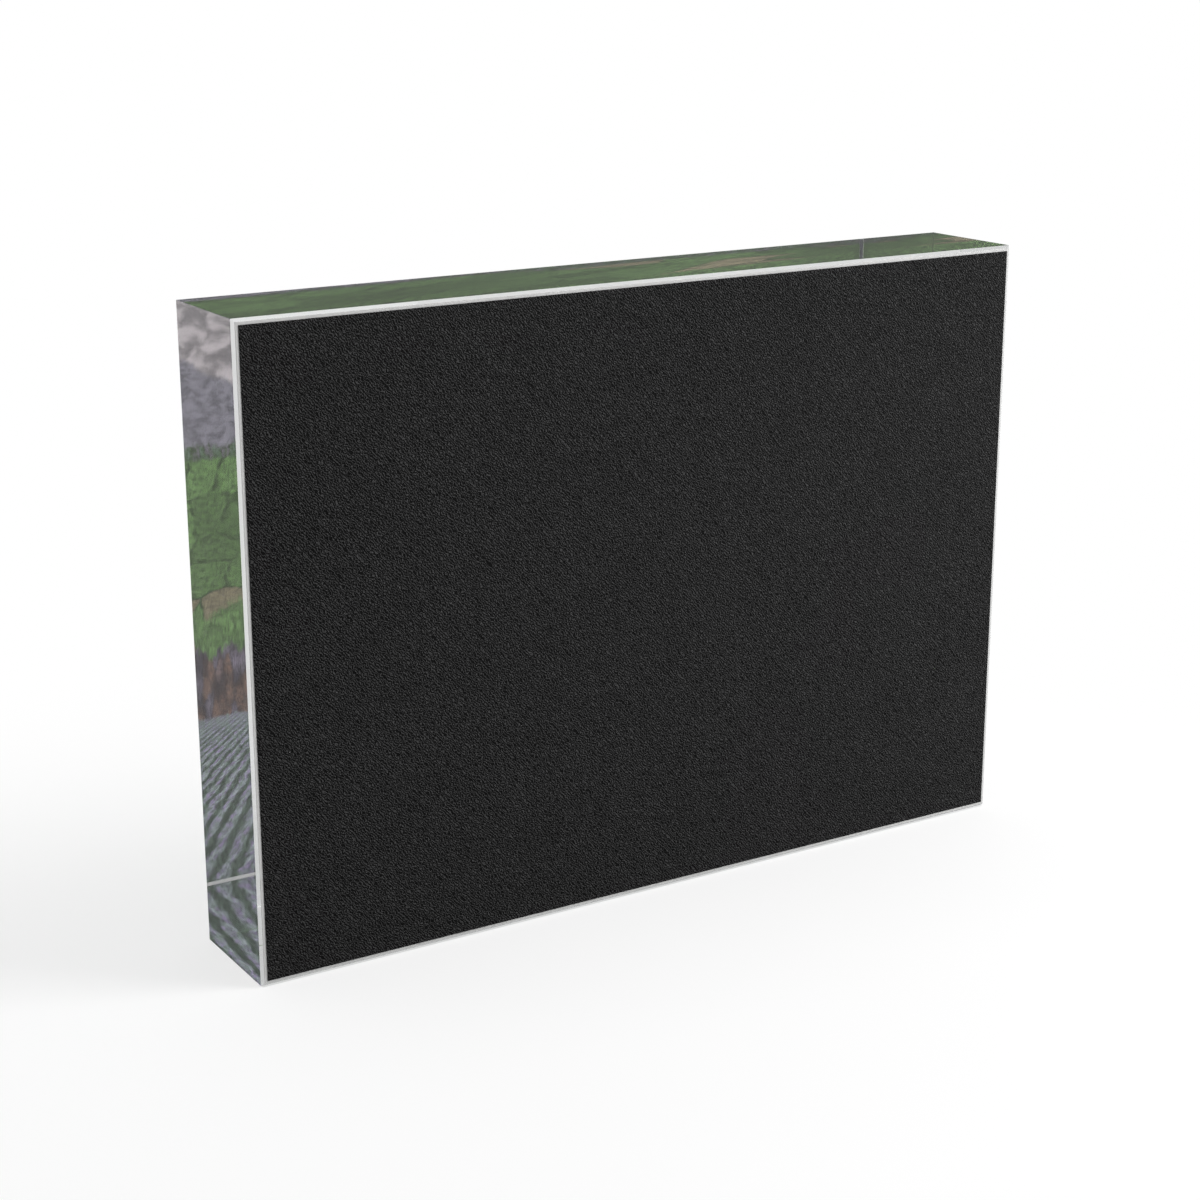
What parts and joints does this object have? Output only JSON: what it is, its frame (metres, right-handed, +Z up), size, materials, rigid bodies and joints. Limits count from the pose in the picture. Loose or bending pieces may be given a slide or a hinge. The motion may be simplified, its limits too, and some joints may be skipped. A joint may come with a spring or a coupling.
{
  "type": "photo block",
  "caption": "Free-standing clear acrylic block chamfered round its back, with a printed photograph bonded behind it, a white backing sheet and a black grained back pad.",
  "frame": {"origin": "middle of the underside, halfway between the front face and the back face", "axes": "+X along the block's width, +Y from the picture side at the front to the black pad at the back, +Z up"},
  "size_m": [0.1778, 0.0258, 0.127],
  "materials": {
    "clear_acrylic": "clear, polished on all faces",
    "clear_adhesive": "clear film",
    "printed_photo": "thin glossy photographic print",
    "tape": "double-sided adhesive film",
    "white_sheet": "satin white",
    "pad_adhesive": "tacky film",
    "black_pad": "fine pebble grain, low sheen"
  },
  "bodies": {
    "root": {"acrylic_block": "clear_acrylic", "print_adhesive": "clear_adhesive", "photo_print": "printed_photo", "backing_tape": "tape", "white_backing_sheet": "white_sheet", "pad_adhesive": "pad_adhesive", "black_back_pad": "black_pad"}
  },
  "joints": []
}
